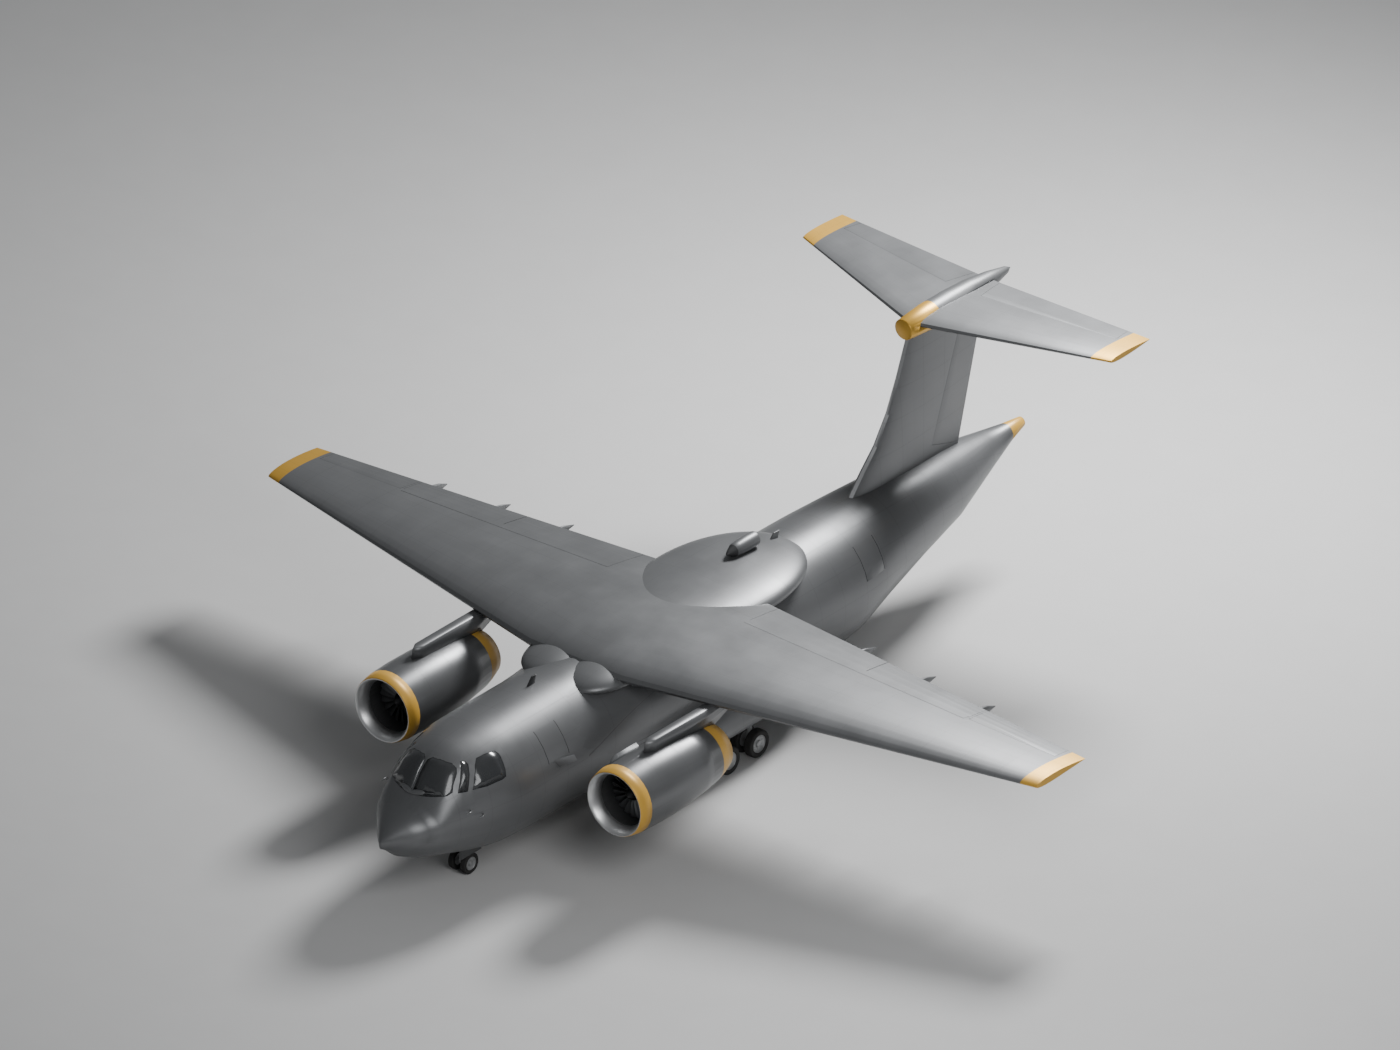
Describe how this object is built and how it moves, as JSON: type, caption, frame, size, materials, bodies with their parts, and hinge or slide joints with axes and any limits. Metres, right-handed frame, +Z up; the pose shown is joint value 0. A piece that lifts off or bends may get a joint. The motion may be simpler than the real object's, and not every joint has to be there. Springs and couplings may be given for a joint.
{
  "type": "military transport plane",
  "caption": "Unarmed high-wing jet transport plane on its gear, with underwing engines, a T-tail, a hollow cargo hold and a tail ramp, and moving control surfaces, doors, wheels and fans",
  "frame": {"origin": "On the ground under the middle of the plane's length and span", "axes": "+X to the plane's port side, +Y aft, so the nose points along -Y, and +Z up"},
  "size_m": [35.04, 35.25, 11.83],
  "materials": {
    "grey_paint": "satin neutral grey paint on aluminium",
    "grey_composite": "satin neutral grey paint on composite",
    "yellow_paint": "satin ochre yellow paint on metal",
    "yellow_composite": "satin ochre yellow paint on composite",
    "bare_metal": "polished bare metal",
    "gear_steel": "machined steel",
    "fan_metal": "satin metal",
    "engine_mass": "dull metal, a plain block of the engine's real mass",
    "tyre_rubber": "matt black rubber",
    "cockpit_glass": "dark tinted glass",
    "dark_interior": "matt dark grey",
    "floor_metal": "dark grey non-slip coating"
  },
  "bodies": {
    "airframe": {"cockpit_shell": "grey_paint", "forward_fuselage": "grey_paint", "centre_fuselage": "grey_paint", "aft_fuselage": "grey_paint", "tail_cone": "grey_paint", "wing": "grey_paint", "nose_gear_bay": "grey_paint", "side_door_port": "grey_paint", "side_door_starboard": "grey_paint", "engine_cowl_port": "grey_paint", "engine_cowl_starboard": "grey_paint", "pylon_port": "grey_paint", "pylon_starboard": "grey_paint", "radome": "grey_composite", "wing_fairing": "grey_composite", "fin": "grey_composite", "stabiliser": "grey_composite", "bullet_fairing": "grey_composite", "sponson_port": "grey_composite", "sponson_starboard": "grey_composite", "exhaust_nozzle_port": "yellow_paint", "exhaust_nozzle_starboard": "yellow_paint", "tail_cap": "yellow_composite", "inlet_lip_port": "bare_metal", "inlet_lip_starboard": "bare_metal", "main_leg_port": "gear_steel", "main_leg_starboard": "gear_steel", "engine_core_port": "engine_mass", "engine_core_starboard": "engine_mass", "cockpit_glazing": "cockpit_glass", "flight_deck": "dark_interior", "instrument_panel": "dark_interior", "cargo_floor": "floor_metal"},
    "fan_port": {"fan_port": "fan_metal"},
    "fan_starboard": {"fan_starboard": "fan_metal"},
    "nose_leg": {"nose_leg": "gear_steel"},
    "nose_wheels": {"nose_wheels": "tyre_rubber"},
    "front_main_wheels_port": {"front_main_wheels_port": "tyre_rubber"},
    "front_main_wheels_starboard": {"front_main_wheels_starboard": "tyre_rubber"},
    "rear_main_wheels_port": {"rear_main_wheels_port": "tyre_rubber"},
    "rear_main_wheels_starboard": {"rear_main_wheels_starboard": "tyre_rubber"},
    "aileron_port": {"aileron_port": "grey_paint"},
    "aileron_starboard": {"aileron_starboard": "grey_paint"},
    "flaps_port": {"inner_flap_port": "grey_paint", "outer_flap_port": "grey_paint"},
    "flaps_starboard": {"inner_flap_starboard": "grey_paint", "outer_flap_starboard": "grey_paint"},
    "elevator_port": {"elevator_port": "grey_composite"},
    "elevator_starboard": {"elevator_starboard": "grey_composite"},
    "rudder": {"rudder": "grey_composite"},
    "cargo_ramp": {"cargo_ramp": "grey_paint"},
    "upper_cargo_door": {"upper_cargo_door": "grey_paint"},
    "crew_hatch": {"crew_hatch": "grey_paint"}
  },
  "joints": [
    {"name": "fan_spin_port", "type": "hinge", "parent": "airframe", "child": "fan_port", "pos_m": [5.294, -9.965, 3.71], "axis": [0, 1, 0], "continuous": true},
    {"name": "front_main_wheels_spin_port", "type": "hinge", "parent": "airframe", "child": "front_main_wheels_port", "pos_m": [2.35, -1.725, 0.53], "axis": [1, 0, 0], "continuous": true},
    {"name": "rear_main_wheels_spin_port", "type": "hinge", "parent": "airframe", "child": "rear_main_wheels_port", "pos_m": [2.35, -0.125, 0.53], "axis": [1, 0, 0], "continuous": true},
    {"name": "aileron_hinge_port", "type": "hinge", "parent": "airframe", "child": "aileron_port", "pos_m": [12.98, -0.841, 5.3541], "axis": [0.998, 0.0432, -0.0457], "range_deg": [-25, 25]},
    {"name": "flap_hinge_port", "type": "hinge", "parent": "airframe", "child": "flaps_port", "pos_m": [3.1, -1.1234, 5.3024], "axis": [-0.9983, -0.0369, 0.0456], "range_deg": [0, 35]},
    {"name": "elevator_hinge_port", "type": "hinge", "parent": "airframe", "child": "elevator_port", "pos_m": [0.8, 14.4959, 11.4383], "axis": [0.9853, 0.1687, -0.0267], "range_deg": [-20, 25]},
    {"name": "fan_spin_starboard", "type": "hinge", "parent": "airframe", "child": "fan_starboard", "pos_m": [-5.294, -9.965, 3.71], "axis": [0, 1, 0], "continuous": true},
    {"name": "front_main_wheels_spin_starboard", "type": "hinge", "parent": "airframe", "child": "front_main_wheels_starboard", "pos_m": [-2.35, -1.725, 0.53], "axis": [1, 0, 0], "continuous": true},
    {"name": "rear_main_wheels_spin_starboard", "type": "hinge", "parent": "airframe", "child": "rear_main_wheels_starboard", "pos_m": [-2.35, -0.125, 0.53], "axis": [1, 0, 0], "continuous": true},
    {"name": "aileron_hinge_starboard", "type": "hinge", "parent": "airframe", "child": "aileron_starboard", "pos_m": [-12.98, -0.841, 5.3541], "axis": [0.998, -0.0432, 0.0457], "range_deg": [-25, 25]},
    {"name": "flap_hinge_starboard", "type": "hinge", "parent": "airframe", "child": "flaps_starboard", "pos_m": [-3.1, -1.1234, 5.3024], "axis": [-0.9983, 0.0369, -0.0456], "range_deg": [0, 35]},
    {"name": "elevator_hinge_starboard", "type": "hinge", "parent": "airframe", "child": "elevator_starboard", "pos_m": [-0.8, 14.4959, 11.4383], "axis": [0.9853, -0.1687, 0.0267], "range_deg": [-20, 25]},
    {"name": "rudder_hinge", "type": "hinge", "parent": "airframe", "child": "rudder", "pos_m": [0, 12.5609, 6.17], "axis": [0, 0.3541, 0.9352], "range_deg": [-30, 30]},
    {"name": "nose_steering", "type": "hinge", "parent": "airframe", "child": "nose_leg", "pos_m": [0, -13.025, 0.98], "axis": [0, 0, 1], "range_deg": [-60, 60]},
    {"name": "nose_wheels_spin", "type": "hinge", "parent": "nose_leg", "child": "nose_wheels", "pos_m": [0, -13.025, 0.4], "axis": [1, 0, 0], "continuous": true},
    {"name": "cargo_ramp_hinge", "type": "hinge", "parent": "airframe", "child": "cargo_ramp", "pos_m": [0, 2.875, 1.01], "axis": [-1, 0, 0], "range_deg": [0, 16.5]},
    {"name": "upper_cargo_door_hinge", "type": "hinge", "parent": "airframe", "child": "upper_cargo_door", "pos_m": [0, 11.975, 3.08], "axis": [-1, 0, 0], "range_deg": [0, 40]},
    {"name": "crew_hatch_hinge", "type": "hinge", "parent": "airframe", "child": "crew_hatch", "pos_m": [1.572, -10.51, 5.28], "axis": [0, -1, 0], "range_deg": [0, 80]}
  ],
  "couplings": [
    {"joint": "aileron_hinge_starboard", "follows": "aileron_hinge_port", "ratio": -1},
    {"joint": "flap_hinge_starboard", "follows": "flap_hinge_port", "ratio": 1},
    {"joint": "elevator_hinge_starboard", "follows": "elevator_hinge_port", "ratio": 1}
  ]
}
